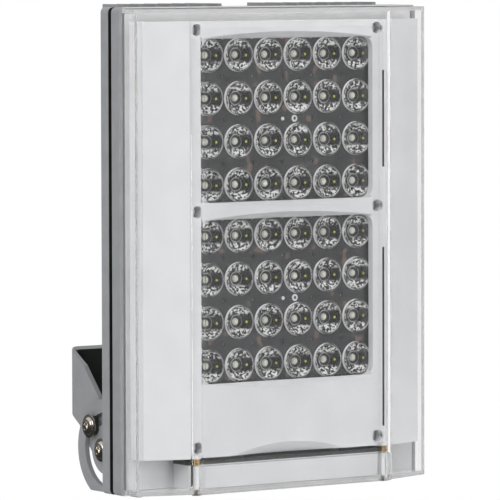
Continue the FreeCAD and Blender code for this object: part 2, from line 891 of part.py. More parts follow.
save("bracket", bracket)

# Tilt bolts: button heads with a flange on spacers outside the ears, washers and nuts inside


def tilt_bolt(y, z):
    """A flanged button-head bolt on the right-hand side, pointing to the middle."""
    seat = ear_outer + running_gap + spacer_thick
    reach = seat - side_inner + washer_thick + nut_thick + nut_gap
    middle = (seat + bolt_flange_thick, y, z)
    head = bolt_head - bolt_flange_thick
    return fused(
        [
            post(bolt_flange, (seat, y, z), (1, 0, 0), bolt_flange_thick, 16),
            taper(bolt_dome, bolt_crown, middle, (1, 0, 0), head, 12),
            rod(bolt_radius, (seat - reach, y, z), (1, 0, 0), reach),
        ]
    )


def hexagon(flats, x, y, z, thick):
    """A six-sided nut blank across x."""
    corner = flats / math.sqrt(3)
    points = []
    for turn in range(6):
        angle = math.radians(60 * turn + 30)
        points.append((y + corner * math.cos(angle), z + corner * math.sin(angle)))
    return sideways(points, (x, x + thick))


for name, y, z in (("pivot", pivot_y, pivot_up), ("lock", lock_y, lock_z)):
    bolt = tilt_bolt(y, z)
    save(name + "_bolt_right", bolt)
    save(name + "_bolt_left", mirrored(bolt))
washers = []
nuts = []
spacers = []
for y, z in ((pivot_y, pivot_up), (lock_y, lock_z)):
    start = (ear_outer + running_gap, y, z)
    spacer = post(spacer_radius, start, (1, 0, 0), spacer_thick)
    hole = drill(bolt_radius + groove_gap, start, (1, 0, 0), spacer_thick, 12)
    spacers += both(spacer.cut(hole))
    seat = side_inner - washer_thick
    washer = post(washer_radius, (seat, y, z), (1, 0, 0), washer_thick)
    hole = drill(bolt_radius + groove_gap, (seat - 1, y, z), (1, 0, 0), washer_thick + 2, 12)
    washers += both(washer.cut(hole))
    nut = hexagon(nut_flats, seat - nut_thick, y, z, nut_thick)
    start = (seat - nut_thick - 1, y, z)
    hole = drill(bolt_radius + bolt_clearance, start, (1, 0, 0), nut_thick + 2, 12)
    nuts += both(nut.cut(hole))
save("tilt_washers", washers)
save("tilt_nuts", nuts)
save("bolt_spacers", spacers)

# Control board in the bay, with its tall components and the terminal block
control_high = control_low + control_height
control = slab((-control_width / 2, control_width / 2), board_y, (control_low, control_high))
control_drill = [
    drill(small_hole + groove_gap, (x, board_y[0] - 1, z), (0, 1, 0), control_thick + 2)
    for x, z in control_holes
]
save("control_board", control.cut(Part.makeCompound(control_drill)))
save(
    "control_board_screws",
    [small_screw(x, z, board_y[0], control_lift) for x, z in control_holes],
)
face = board_y[0]
driver_left = -control_width / 4 - capacitor_radius / 3
components = [
    slab(
        (driver_left, driver_left + driver_width),
        (face - driver_tall, face),
        (control_mid - driver_height / 2, control_mid + driver_height / 2),
    ),
    post(capacitor_radius, (capacitor_radius, face, control_mid + control_edge), (0, -1, 0), capacitor_tall),
    post(filter_radius, (3 * capacitor_radius, face, control_mid + control_edge), (0, -1, 0), filter_tall),
    slab(
        (filter_radius * 2, filter_radius * 2 + coil_width),
        (face - coil_tall, face),
        (control_low + control_edge, control_low + control_edge + coil_height),
    ),
]
save("board_components", components)
terminal_left = -control_width / 2 + terminal_edge
terminal = slab(
    (terminal_left, terminal_left + terminal_width),
    (face - terminal_height, face),
    (control_low + 1, control_low + 1 + terminal_height),
)
mouths = []
for index in range(4):
    x = terminal_left + terminal_width / 2 + (index - 1.5) * terminal_pitch
    mouths.append(
        slab(
            (x - terminal_mouth / 2, x + terminal_mouth / 2),
            (face - terminal_height * 0.6, face - terminal_height * 0.2),
            (control_low, control_low + terminal_height * 0.6),
        )
    )
save("terminal_block", terminal.cut(Part.makeCompound(mouths)))

# Leads: two flat pairs from the control board up to the lower LED board, and a link above it
lead_mid = control_width / 2 - lead_edge
lead_high = control_high - 2 * lead_width
lead_front = board_front - lead_thick
lead_turn = pedestal_low - lead_width
lead_outline = [
    (face, lead_high - lead_width),
    (face - lead_thick, lead_high - lead_width),
    (lead_front, lead_turn),
    (lead_front, pedestal_low + lead_overlap),
    (board_front, pedestal_low + lead_overlap),
    (board_front, lead_turn),
    (face, lead_high),
]
leads = both(sideways(lead_outline, (lead_mid - lead_width / 2, lead_mid + lead_width / 2)))
link_z = (
    module_heights["lower"] + board_half_height - lead_width,
    module_heights["upper"] - board_half_height + lead_width,
)
leads.append(slab((-lead_width, lead_width), (lead_front, board_front), link_z))
save("board_leads", leads)

# Cable gland through the casting's floor: body, dome nut and seal
gland_start = bay_floor
gland_seat = casting_back
gland_y = (gland_seat, gland_seat + gland_hex)


def hex_along_y(flats, y, z, x=0.0):
    """A six-sided block about a fore-and-aft axis."""
    corner = flats / math.sqrt(3)
    points = [
        (x + corner * math.cos(math.radians(60 * t)), y[0], z + corner * math.sin(math.radians(60 * t)))
        for t in range(6)
    ]
    return Part.Face(wire(points)).extrude(Vector(0, y[1] - y[0], 0))


gland_thread = gland_radius - bolt_clearance
neck_radius = gland_radius - gland_neck_wall
floor_length = gland_seat - gland_start
seal_radius = gland_bore + seal_wall
body = fused(
    [
        post(gland_thread, (0, gland_start, gland_up), (0, 1, 0), floor_length, 16),
        hex_along_y(gland_flats, gland_y, gland_up),
        post(neck_radius, (0, gland_y[1], gland_up), (0, 1, 0), gland_neck_length, 16),
    ]
)
body_bore = drill(
    gland_bore + running_gap, (0, gland_start - 1, gland_up), (0, 1, 0), floor_length + gland_hex + 2, 12
)
seal_bore = drill(seal_radius, (0, gland_y[1], gland_up), (0, 1, 0), gland_neck_length + 1, 12)
save("gland_body", body.cut(body_bore).cut(seal_bore))
seal_start = (0, gland_y[1], gland_up)
gland_seal = post(seal_radius - bolt_clearance, seal_start, (0, 1, 0), gland_neck_length)
save("gland_seal", gland_seal.cut(rod(gland_bore, seal_start, (0, 1, 0), gland_neck_length)))
nut_y = (gland_y[1] + seat_gap, gland_y[1] + gland_neck_length)
nut_length = nut_y[1] - nut_y[0]
gland_nut = fused(
    [
        hex_along_y(gland_flats - 2.0, nut_y, gland_up),
        taper(neck_radius + 2.5, neck_radius, (0, nut_y[1], gland_up), (0, 1, 0), gland_nut_end),
    ]
)
nut_bore = drill(
    neck_radius + bolt_clearance, (0, nut_y[0] - 1, gland_up), (0, 1, 0), nut_length + 1, 16
)
end_bore = drill(
    gland_bore + nut_gap, (0, nut_y[0], gland_up), (0, 1, 0), nut_length + gland_nut_end + 1, 12
)
save("gland_nut", gland_nut.cut(nut_bore).cut(end_bore))

# Breather vent above the gland
vent = post(vent_radius - bolt_clearance, (0, bay_floor, vent_up), (0, 1, 0), floor_thick)
vent = vent.fuse(post(vent_cap, (0, casting_back, vent_up), (0, 1, 0), vent_cap_thick))
vent = vent.cut(drill(vent_bore, (0, bay_floor - 1, vent_up), (0, 1, 0), floor_thick + 2))
save("breather_vent", vent)

# Brass inserts over the tab's ends and the insert's captive screws
brass_low = bezel_bottom + brass_lug_height - 0.2 - brass_length
brass_start = (brass_x, brass_depth, brass_low)
brass = post(brass_radius, brass_start, (0, 0, 1), brass_length)
brass = brass.cut(drill(small_hole, brass_start, (0, 0, 1), brass_length))
save("latch_inserts", both(brass))
captive_start = (brass_x, brass_depth, 0)
captive_head = post(small_head, captive_start, (0, 0, 1), tab_low, 8)
captive_shank = post(small_shank, captive_start, (0, 0, 1), brass_low + captive_reach, 6)
save("insert_screws", both(captive_head.fuse(captive_shank)))
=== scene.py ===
# %% [markdown]
# # A wall-mounted security floodlight
# The lamp is a finned grey casting with a clear front cover. Behind the cover sit a white
# moulded panel and two blocks of collimator lenses, and a folded steel bracket holds it all to
# the wall. The CAD model is loaded as a fixed frame, in metres, with +Z up and the lamp looking
# along -Y. This script gives the parts their finishes and adds the fine pieces, such as the
# lenses, which are too detailed for the CAD model.

# %% Load the frame
import math

import bmesh
import bpy
import numpy as np
from mathutils import Matrix, Vector


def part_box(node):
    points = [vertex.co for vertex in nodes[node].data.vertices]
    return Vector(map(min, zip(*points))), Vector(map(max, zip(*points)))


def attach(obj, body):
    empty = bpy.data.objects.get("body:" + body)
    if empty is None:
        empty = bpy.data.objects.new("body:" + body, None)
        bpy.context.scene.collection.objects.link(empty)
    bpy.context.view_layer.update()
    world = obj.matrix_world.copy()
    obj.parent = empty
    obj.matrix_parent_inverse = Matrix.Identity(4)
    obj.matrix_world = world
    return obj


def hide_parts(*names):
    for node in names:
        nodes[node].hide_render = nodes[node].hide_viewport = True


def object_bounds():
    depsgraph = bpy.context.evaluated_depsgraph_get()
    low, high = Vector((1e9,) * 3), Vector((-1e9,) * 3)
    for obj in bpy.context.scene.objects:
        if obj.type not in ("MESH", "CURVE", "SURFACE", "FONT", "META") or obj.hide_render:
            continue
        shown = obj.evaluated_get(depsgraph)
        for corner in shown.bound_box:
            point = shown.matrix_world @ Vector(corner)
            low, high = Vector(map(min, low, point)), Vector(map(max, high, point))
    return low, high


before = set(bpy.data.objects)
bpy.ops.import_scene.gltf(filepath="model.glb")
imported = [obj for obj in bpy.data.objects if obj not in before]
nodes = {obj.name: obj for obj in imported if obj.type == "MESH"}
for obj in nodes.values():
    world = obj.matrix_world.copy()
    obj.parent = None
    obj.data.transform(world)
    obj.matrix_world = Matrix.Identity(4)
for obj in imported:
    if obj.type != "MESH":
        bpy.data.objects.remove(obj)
cad_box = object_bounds()
MM = 0.001
print("nodes:", len(nodes), "box in mm:", [[round(v / MM, 1) for v in corner] for corner in cad_box])

# %% [markdown]
# ## Where things are
# Most sizes are read from the frame, so the scene still fits when the CAD changes; the few that
# a part's box can't give are named values. Depths are counted backwards from the raised front
# face of the cover and heights upwards from the bottom edge of the lamp's body, because that is
# how such a lamp is measured on a bench.

# %% Datum planes of the lamp
front_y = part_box("front_cover")[0].y
base_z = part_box("front_frame")[0].z


def place(across, depth, height):
    """The point in metres that is so many millimetres across, behind the front and up."""
    return Vector((across * MM, front_y + depth * MM, base_z + height * MM))


lens_low, lens_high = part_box("lens_array_upper")
lens_front = (lens_low.y - front_y) / MM
print("lens faces at", round(lens_front, 2), "mm behind the front")

# %% Sizes that a box can't give, in millimetres
# How near a face a point has to lie to count as on it
HAIR = 0.1
# The bracket's sheet
BRACKET_THICK = 3.0
# The white panel's front, its slots with half their width, and the slots' outer walls with their band of
# painted shade
PANEL_DEPTH = 9.6
SLOT_MIDDLE, SLOT_REACH = 69.1, 1.4
SLOT_WALL, SLOT_SHADE_BAND = 70.3, 0.4
# The heights between which the insert's lugs hold its screws
LUG_LOW, LUG_HIGH = 3.5, 17.0
# The lower edge and half the width of the painted shade across the gap over the tab
GAP_SHADE_LOW, GAP_SHADE_HALF_WIDTH = 17.6, 72.4
print("white panel at", PANEL_DEPTH, "mm, its slots", SLOT_MIDDLE, "mm from the middle")

# %% [markdown]
# ## The camera
# The lamp is seen from a long way off with a long lens, so its edges stay almost parallel. The
# view comes from 35 degrees to the left of the front and from a little above. The camera's
# axes are worked out from those angles, which keeps it easy to adjust.

# %% Camera
YAW, RISE, ROLL = math.radians(34.96), math.radians(3.47), math.radians(-0.15)
DISTANCE = 2860.0
AIM = (-34.26, 0.0, 143.3)
LENS = 350.6

backward = Vector((-math.sin(YAW) * math.cos(RISE), -math.cos(YAW) * math.cos(RISE), math.sin(RISE)))
level_right = (-backward).cross(Vector((0, 0, 1))).normalized()
level_up = backward.cross(level_right)
right = level_right * math.cos(ROLL) + level_up * math.sin(ROLL)
up = level_up * math.cos(ROLL) - level_right * math.sin(ROLL)
spot = place(*AIM) + backward * DISTANCE * MM

camera = bpy.data.objects.new("camera", bpy.data.cameras.new("camera"))
bpy.context.scene.collection.objects.link(camera)
camera.data.lens = LENS
camera.data.sensor_width = 36.0
camera.data.clip_end = 50.0
turn = Matrix((right, up, backward)).transposed().to_4x4()
camera.matrix_world = Matrix.Translation(spot) @ turn
bpy.context.scene.camera = camera
print("camera at", [round(v, 3) for v in spot])

# %% [markdown]
# ## Light and background
# A product photograph of a clear object needs a white backdrop behind it and a dark room in
# front: the backdrop shows through the clear edges, while the flat panes mirror the room, and
# would look milky if the room were white too. So the world is white wherever the camera sees
# it. A refracted ray finds it white behind the lamp and overhead, where a large soft box hangs,
# and dark in front. A reflected ray finds the same soft box, a grey screen behind the lamp at
# the right only, and a faint glow elsewhere. All other rays find an even grey light.

# %% Light and world
scene = bpy.context.scene
scene.view_settings.view_transform = "Standard"
scene.cycles.max_bounces = 24
scene.cycles.transmission_bounces = 24
scene.cycles.glossy_bounces = 12
scene.cycles.transparent_max_bounces = 32

WORLD_LIGHT = 0.72
ROOM_SHINE = 0.05


class Graph:
    """A node tree whose nodes are made by naming a type, its settings and its sockets."""

    def __init__(self, tree):
        self.tree = tree
        tree.nodes.clear()

    def node(self, kind, settings, sockets, output=0):
        made = self.tree.nodes.new(kind)
        for name, value in settings.items():
            setattr(made, name, value)
        for name, value in sockets.items():
            if isinstance(value, Signal):
                self.tree.links.new(value.socket, made.inputs[name])
            else:
                made.inputs[name].default_value = value
        return Signal(self, made.outputs[output]) if made.outputs else None


class Signal:
    """One output of a node. Arithmetic with it adds Math nodes to its tree."""

    def __init__(self, graph, socket):
        self.graph = graph
        self.socket = socket

    def maths(self, operation, *values):
        return self.graph.node("ShaderNodeMath", {"operation": operation}, dict(enumerate(values)))

    def __add__(self, other):
        return self.maths("ADD", self, other)

    __radd__ = __add__

    def __sub__(self, other):
        return self.maths("SUBTRACT", self, other)

    def __rsub__(self, other):
        return self.maths("SUBTRACT", other, self)

    def __mul__(self, other):
        return self.maths("MULTIPLY", self, other)

    __rmul__ = __mul__

    def __abs__(self):
        return self.maths("ABSOLUTE", self)

    def __pow__(self, power):
        return self.maths("POWER", self, power)

    def above(self, limit):
        return self.maths("GREATER_THAN", self, limit)

    def below(self, limit):
        return self.maths("LESS_THAN", self, limit)

    def wrapped(self, step):
        """The value counted from the nearest multiple of a step, from minus half to plus half."""
        return self.maths("WRAP", self, step / 2, -step / 2)

    def eased(self, low, high):
        """0 below low, 1 above high and a smooth rise between them."""
        return self.graph.node(
            "ShaderNodeMapRange",
            {"interpolation_type": "SMOOTHSTEP"},
            {"Value": self, "From Min": low, "From Max": high},
        )


def ray_kinds(graph):
    """Three values, each 1 for one kind of ray: from the camera, reflected, refracted.

    A ray bent by a polished surface counts as glossy too, so reflected leaves it out.
    """
    kinds = ("Is Camera Ray", "Is Glossy Ray", "Is Transmission Ray")
    camera_ray, glossy, bent = [graph.node("ShaderNodeLightPath", {}, {}, kind) for kind in kinds]
    return camera_ray, glossy * (1 - bent), bent


world = bpy.data.worlds.new("surround")
scene.world = world
world.use_nodes = True
sky = Graph(world.node_tree)
seen, reflected, refracted = ray_kinds(sky)
direction = sky.node("ShaderNodeTexCoord", {}, {}, "Generated")
behind = sky.node("ShaderNodeSeparateXYZ", {}, {"Vector": direction}, "Y").eased(-0.05, 0.35)
overhead = sky.node("ShaderNodeSeparateXYZ", {}, {"Vector": direction}, "Z").eased(0.38, 0.62)
sideways = sky.node("ShaderNodeSeparateXYZ", {}, {"Vector": direction}, "X").eased(0.2, 0.5)
screen = behind * (refracted + 0.65 * reflected * sideways)
soft_box = overhead.maths("MAXIMUM", overhead, screen)
room = ROOM_SHINE + 0.1 * reflected * (1 - sideways)
mirror_light = room + (1.0 - room) * soft_box
mirrored = reflected.maths("MAXIMUM", reflected, refracted)
unseen = WORLD_LIGHT + mirrored * (mirror_light - WORLD_LIGHT)
strength = unseen + seen * (1.0 - unseen)
white = (1.0, 1.0, 1.0, 1.0)
backdrop = sky.node("ShaderNodeBackground", {}, {"Color": white, "Strength": strength})
sky.node("ShaderNodeOutputWorld", {}, {"Surface": backdrop})


def soft_lamp(name, position, target, size, power):
    """A square lamp of some size in metres, turned to face a target."""
    light = bpy.data.lights.new(name, "AREA")
    light.size = size
    light.energy = power
    holder = bpy.data.objects.new(name, light)
    scene.collection.objects.link(holder)
    away = Vector(position) - Vector(target)
    holder.matrix_world = Matrix.Translation(position) @ away.to_track_quat("Z", "Y").to_matrix().to_4x4()
    return holder


centre = place(0, 40, 143)
soft_lamp("key_lamp", centre + Vector((-2.2, -0.9, 1.3)), centre, 1.4, 28.0)
soft_lamp("top_lamp", centre + Vector((0.2, -1.6, 2.2)), centre, 1.4, 16.0)
soft_lamp("front_lamp", centre + Vector((0.61, -2.11, -0.22)), centre, 0.4, 6.4)
soft_lamp("side_lamp", centre + Vector((2.4, -0.5, 0.8)), centre, 1.2, 13.0)

# %% [markdown]
# ## Finishes as graphs
# A material is a small graph of nodes. Each finish below is a graph with the object's own
# coordinates ready in it, and a few methods for what the finishes share: cloudy noise, a blend
# of two colours and a bumped normal.


# %% Finishes
class Finish(Graph):
    """A material written as a graph, with the object's coordinates as its position."""

    def __init__(self, name):
        self.material = bpy.data.materials.new(name)
        self.material.use_nodes = True
        super().__init__(self.material.node_tree)
        self.position = self.node("ShaderNodeTexCoord", {}, {}, "Object")

    def along(self, axis):
        """The object coordinate along X, Y or Z, in metres."""
        return self.node("ShaderNodeSeparateXYZ", {}, {"Vector": self.position}, axis)

    def noise(self, size, detail=2.0):
        """Cloudy noise from 0 to 1 whose patches are about so many millimetres across."""
        sockets = {"Vector": self.position, "Scale": 1.0 / (size * MM), "Detail": detail}
        return self.node("ShaderNodeTexNoise", {}, sockets, "Fac")

    def tint(self, share, first, second):
        """A colour that goes from the first to the second as the share goes from 0 to 1."""
        ends = [end if isinstance(end, Signal) else (*end, 1.0) for end in (first, second)]
        return self.node("ShaderNodeMix", {"data_type": "RGBA"}, {0: share, 6: ends[0], 7: ends[1]}, 2)

    def bump(self, height, depth, strength=1.0):
        """A normal tilted by a height from 0 to 1 that stands for so many millimetres."""
        sockets = {"Height": height, "Distance": depth * MM, "Strength": strength}
        return self.node("ShaderNodeBump", {}, sockets)

    def surface(self, **sockets):
        """A Principled surface. Underscores in the names stand for spaces."""
        named = {name.replace("_", " "): value for name, value in sockets.items()}
        return self.node("ShaderNodeBsdfPrincipled", {}, named)

    def done(self, shader):
        """Sends a shader to the output and gives the material."""
        self.node("ShaderNodeOutputMaterial", {}, {"Surface": shader})
        return self.material


def opaque(name, dark, light, roughness, grain, metal=0.0, stipple=0.02, coat=0.0, glow=0.0):
    """A solid finish: two near colours in cloudy patches, uneven gloss and a fine stipple."""
    finish = Finish(name)
    cloud = finish.noise(grain * 12)
    fine = finish.noise(grain, 3.0)
    shader = finish.surface(
        Base_Color=finish.tint(cloud.eased(0.3, 0.7), dark, light),
        Roughness=roughness + 0.12 * (fine - 0.5),
        Metallic=metal,
        Coat_Weight=coat,
        Emission_Color=(*light, 1.0),
        Emission_Strength=glow,
        Normal=finish.bump(fine, stipple),
    )
    return finish.done(shader)


# %% [markdown]
# ## Solid finishes
# The casting, the frame and the ears have the same satin grey powder coat: its colour is almost
# even, but its surface has a fine orange-peel stipple that softens every highlight. Mouldings
# and rubber get the same recipe with other colours, grain and gloss. A two-tone finish turns to
# a second colour where a rule gives 1. Most of these second colours are painted shade: black
# between the bracket's side plates, on the casting's face at the gasket, on the walls of the
# panel's right slots and across the gap over the tab. The guide's white is also a darker, shaded
# copy of the panel's. The frame's front face under the cover is painted light grey, as painted
# light. The pale bead under the cover glows a little, in place of the light that the cover's
# walls carry down to it.

# %% Solid finishes
PAINT_DARK, PAINT_LIGHT = (0.25, 0.257, 0.268), (0.275, 0.282, 0.293)
grey_paint = opaque("grey_paint", PAINT_DARK, PAINT_LIGHT, 0.46, 0.9, stipple=0.05)


def two_tone(name, main, other, where, roughness=0.46, grain=0.9, stipple=0.05, metal=0.0):
    """A solid finish that turns to a second pair of colours, not metallic, where a rule gives 1."""
    finish = Finish(name)
    cloud = finish.noise(grain * 12).eased(0.3, 0.7)
    fine = finish.noise(grain, 3.0)
    second = where(finish)
    shader = finish.surface(
        Base_Color=finish.tint(second, finish.tint(cloud, *main), finish.tint(cloud, *other)),
        Metallic=metal * (1 - second),
        Roughness=roughness + 0.12 * (fine - 0.5),
        Normal=finish.bump(fine, stipple),
    )
    return finish.done(shader)


def shaded_inside_bracket(finish):
    """1 between the bracket's side plates and in front of its wall plate, where black paints the shade."""
    beside = abs(finish.along("X")).below(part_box("tilt_washers")[1].x + HAIR * MM)
    return beside * finish.along("Y").below((HAIR - BRACKET_THICK) * MM)


def shaded_joint_face(finish):
    """1 on the casting's face that meets the gasket, where black paints the shade in the gap."""
    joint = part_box("body_gasket")[1].y
    return abs(finish.along("Y") - joint).below(2 * HAIR * MM)


def painted_light_frame_face(finish):
    """1 on the frame's front face, as far out as the cover reaches, where a light grey paints light."""
    covered = abs(finish.along("X")).below(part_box("front_cover")[1].x)
    return covered * finish.along("Y").below(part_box("front_frame")[0].y + 2 * HAIR * MM)


def shaded_slot_walls(finish):
    """1 on the outer walls of the white panel's two right slots, where black paints their shade."""
    beside = abs(finish.along("X") - SLOT_WALL * MM).below(SLOT_SHADE_BAND * MM)
    return beside * finish.along("Y").above(front_y + (PANEL_DEPTH + HAIR) * MM)


def lug_sleeve(finish):
    """1 on the part of the insert's screws that its lugs hold, in a white sleeve."""
    height = finish.along("Z") - base_z
    return height.above(LUG_LOW * MM) * height.below(LUG_HIGH * MM)


def gap_shade(finish):
    """1 across the gap between the white panel and the tab, where black paints the gap's shade."""
    beside = abs(finish.along("X")).below(GAP_SHADE_HALF_WIDTH * MM)
    return finish.along("Z").above(base_z + GAP_SHADE_LOW * MM) * beside


GREY = (PAINT_DARK, PAINT_LIGHT)
STEEL = ((0.5, 0.46, 0.41), (0.6, 0.56, 0.505))
WHITE = ((0.69, 0.694, 0.706), (0.72, 0.724, 0.736))
SHADED_WHITE = ((0.6, 0.602, 0.61), (0.63, 0.632, 0.64))
BLACK = ((0.012, 0.012, 0.013), (0.018, 0.019, 0.019))
# A light grey that paints light on the frame's face under the cover.
PAINTED_LIGHT_GREY = ((0.62, 0.62, 0.62), (0.67, 0.67, 0.67))
# Black is painted as shade between the bracket's side plates and in front of its wall plate.
bracket_paint = two_tone("bracket_paint", GREY, BLACK, shaded_inside_bracket)
# Black is painted as shade on the casting's face in the gap at the gasket.
housing_paint = two_tone("housing_paint", GREY, BLACK, shaded_joint_face)
# The frame's face under the cover is painted light grey, as painted light.
frame_paint = two_tone("frame_paint", GREY, PAINTED_LIGHT_GREY, painted_light_frame_face)
sleeved_screw = two_tone("sleeved_screw", STEEL, WHITE, lug_sleeve, 0.3, 0.5, 0.006, metal=1.0)
# The guide's white is a darker, shaded copy of the panel's, and black paints the shade across the gap over
# the tab.
guide_white_and_shade = two_tone("guide_white_and_shade", SHADED_WHITE, BLACK, gap_shade, 0.42, 1.4, 0.02)
# Black is painted as shade on the walls of the panel's right slots.
panel_white_and_shade = two_tone("panel_white_and_shade", WHITE, BLACK, shaded_slot_walls, 0.42, 1.4, 0.02)
white_moulding = opaque("white_moulding", *WHITE, 0.42, 1.4)
black_rubber = opaque("black_rubber", (0.009, 0.009, 0.01), (0.015, 0.015, 0.016), 0.75, 0.6)
seal_rubber = opaque("seal_rubber", (0.16, 0.16, 0.165), (0.2, 0.2, 0.21), 0.7, 0.6)
white_silicone = opaque("white_silicone", (0.62, 0.62, 0.62), (0.68, 0.68, 0.68), 0.5, 0.8, glow=0.3)
black_nylon = opaque("black_nylon", (0.02, 0.02, 0.022), (0.034, 0.034, 0.036), 0.5, 0.5, stipple=0.04)
stainless = opaque("stainless", *STEEL, 0.2, 0.5, metal=1.0, stipple=0.006)
zinc_plate = opaque("zinc_plate", (0.58, 0.58, 0.56), (0.68, 0.68, 0.66), 0.32, 0.5, metal=1.0, stipple=0.01)
brass_finish = opaque("brass_finish", (0.72, 0.47, 0.16), (0.82, 0.58, 0.24), 0.26, 0.5, metal=1.0)
board_mask = opaque("board_mask", (0.62, 0.62, 0.61), (0.68, 0.68, 0.67), 0.35, 1.0, stipple=0.006)
green_mask = opaque("green_mask", (0.015, 0.13, 0.05), (0.03, 0.19, 0.08), 0.3, 1.0, coat=0.4)
case_black = opaque("case_black", (0.03, 0.03, 0.032), (0.05, 0.05, 0.052), 0.4, 0.6)
terminal_grey = opaque("terminal_grey", (0.3, 0.31, 0.32), (0.36, 0.37, 0.38), 0.45, 0.8)
dark_resin = opaque("dark_resin", (0.028, 0.029, 0.031), (0.045, 0.046, 0.049), 0.34, 1.2)
phosphor = opaque("phosphor", (0.74, 0.7, 0.06), (0.82, 0.79, 0.12), 0.4, 0.3, coat=0.5)
post_white = opaque("post_white", (0.7, 0.7, 0.69), (0.78, 0.78, 0.77), 0.4, 0.4)
print("solid finishes:", len(bpy.data.materials))

# %% [markdown]
# ## Clear finishes
# Clear plastic bends what is behind it and reflects the room. It would throw hard black
# shadows, because a renderer's shadow rays don't bend, so for those rays alone the surface is
# swapped for a plain transparent one, which lets a little less through at the lenses than at the
# thin walls. Real mouldings are never quite even, which a very slow wave in the surface shows in
# the reflections, and a trace of haze brightens the edges, where light runs to and fro between
# the faces. The rims and domes of the lenses glow a little, in place of light carried to them.


# %% Clear finishes
def clear(name, colour, index, wave, shadow, haze=0.0, coat=0.0):
    """A refracting finish with its index, a wave in millimetres and a share of white haze.

    A thin wall hardly bends the view: it gets an index near 1, and its shine from a coat.
    """
    finish = Finish(name)
    slow = finish.noise(38.0, 1.0)
    fine = finish.noise(2.5, 2.0)
    body = finish.surface(
        Base_Color=finish.tint(slow.eased(0.3, 0.7), colour, tuple(0.985 * c for c in colour)),
        Roughness=0.015 + 0.03 * fine.eased(0.55, 0.9),
        IOR=index,
        Transmission_Weight=1.0 - haze,
        Coat_Weight=coat,
        Normal=finish.bump(slow, wave),
    )
    thin = finish.node("ShaderNodeBsdfTransparent", {}, {"Color": (shadow, shadow, shadow, 1.0)})
    shadow_ray = finish.node("ShaderNodeLightPath", {}, {}, "Is Shadow Ray")
    return finish.done(finish.node("ShaderNodeMixShader", {}, {0: shadow_ray, 1: body, 2: thin}))


clear_cover = clear("clear_cover", (0.985, 0.987, 0.99), 1.42, 0.08, 0.97, 0.01, 0.3)
clear_insert = clear("clear_insert", (0.98, 0.983, 0.986), 1.05, 0.08, 0.97, 0.008, 0.4)
clear_acrylic = clear("clear_acrylic", (0.985, 0.987, 0.987), 1.49, 0.02, 0.8)
cream_dome = opaque("cream_dome", (0.78, 0.77, 0.66), (0.84, 0.83, 0.73), 0.2, 0.3, coat=0.6, glow=0.15)
frosted = opaque("frosted", (0.7, 0.7, 0.7), (0.76, 0.76, 0.76), 0.35, 0.4, glow=0.2)
print("clear finishes:", [m.name for m in bpy.data.materials if m.name.startswith("clear")])

# %% [markdown]
# ## Dressing the CAD parts
# A CAD part comes as loose triangles with razor-sharp edges. Weld joins them, and a narrow
# Bevel rounds the edges, so that they catch a thin highlight as cast and moulded edges do. Both
# are modifiers, so the part's own mesh stays as it was.


# %% Dress the CAD parts
def dress(names, finish, edge=0.0, segments=2):
    """Gives CAD parts a finish and, where edge isn't 0, edges rounded by so many millimetres."""
    for name in names:
        part = nodes[name]
        part.data.materials.clear()
        part.data.materials.append(finish)
        if edge:
            weld = part.modifiers.new("join", "WELD")
            weld.merge_threshold = 0.00001
            bevel = part.modifiers.new("edges", "BEVEL")
            bevel.width = edge * MM
            bevel.segments = segments
            bevel.limit_method = "ANGLE"
            bevel.angle_limit = math.radians(40)


dress(["heatsink_housing"], housing_paint, 0.4)
dress(["front_frame"], frame_paint, 0.4)
dress(["tilt_ear_left", "tilt_ear_right"], grey_paint, 0.3)
dress(["bracket"], bracket_paint, 0.3)
dress(["bezel"], panel_white_and_shade, 0.25)
dress(["lower_guide"], guide_white_and_shade, 0.3)
dress(["body_gasket"], black_rubber)
dress(["cover_seal"], white_silicone)
dress(["gland_seal"], seal_rubber)
dress(["front_cover"], clear_cover)
dress(["lens_insert"], clear_insert)
dress(["led_board_upper", "led_board_lower"], board_mask)
dress(["led_emitters_upper", "led_emitters_lower"], board_mask)
dress(["led_board_screws", "control_board_screws"], zinc_plate)
dress(["control_board"], green_mask)
dress(["board_components"], case_black, 0.4)
dress(["terminal_block"], terminal_grey, 0.2)
dress(["board_leads"], black_rubber, 0.3)
dress(["breather_vent"], black_nylon, 0.5)
dress(["gland_body", "gland_nut"], black_nylon, 0.4)
dress(["latch_inserts"], brass_finish, 0.15)
dress(["bolt_spacers"], black_nylon, 0.25)
dress(["tilt_washers", "tilt_nuts"], stainless, 0.25)
dress(["frame_screws", "ear_screws"], stainless, 0.3)
dress(["insert_screws"], sleeved_screw)
dress(["bezel_screws"], zinc_plate, 0.3)
print("dressed:", sum(1 for part in nodes.values() if part.data.materials[0].users > 0))

# %% [markdown]
# ## Surfaces from numpy
# Turned and moulded pieces are surfaces of revolution: a profile of radius against length,
# carried round an axis. The whole grid of points is worked out at once as arrays. Copies of a
# piece share one mesh, made by adding each place to the same points.


# %% Surface helpers
def lathe(profile, steps, sides=0):
    """A profile of (radius, length) turned about an axis, as points (u, v, w) and faces.

    Point = (radius * shape * cos(angle), radius * shape * sin(angle), length), where shape is 1
    for a round piece, and cos(half side) / cos(angle from the side's middle) for a flat-sided one.
    """
    radius, length = np.array(profile, float).T
    angle = np.linspace(0, 2 * np.pi, steps, endpoint=False)
    shape = np.ones(steps)
    if sides:
        side = 2 * np.pi / sides
        shape = np.cos(side / 2) / np.cos((angle % side) - side / 2)
    u = np.outer(radius, shape * np.cos(angle))
    v = np.outer(radius, shape * np.sin(angle))
    w = np.repeat(length[:, None], steps, axis=1)
    return np.stack([u, v, w], axis=-1).reshape(-1, 3), grid_faces(len(radius), steps)


def grid_faces(rows, columns):
    """Quads between the rows of a grid whose last column joins the first."""
    row = np.arange(rows - 1)[:, None] * columns
    column = np.arange(columns)[None, :]
    after = (column + 1) % columns
    quads = [row + column, row + after, row + columns + after, row + columns + column]
    return np.stack(np.broadcast_arrays(*quads), axis=-1).reshape(-1, 4)


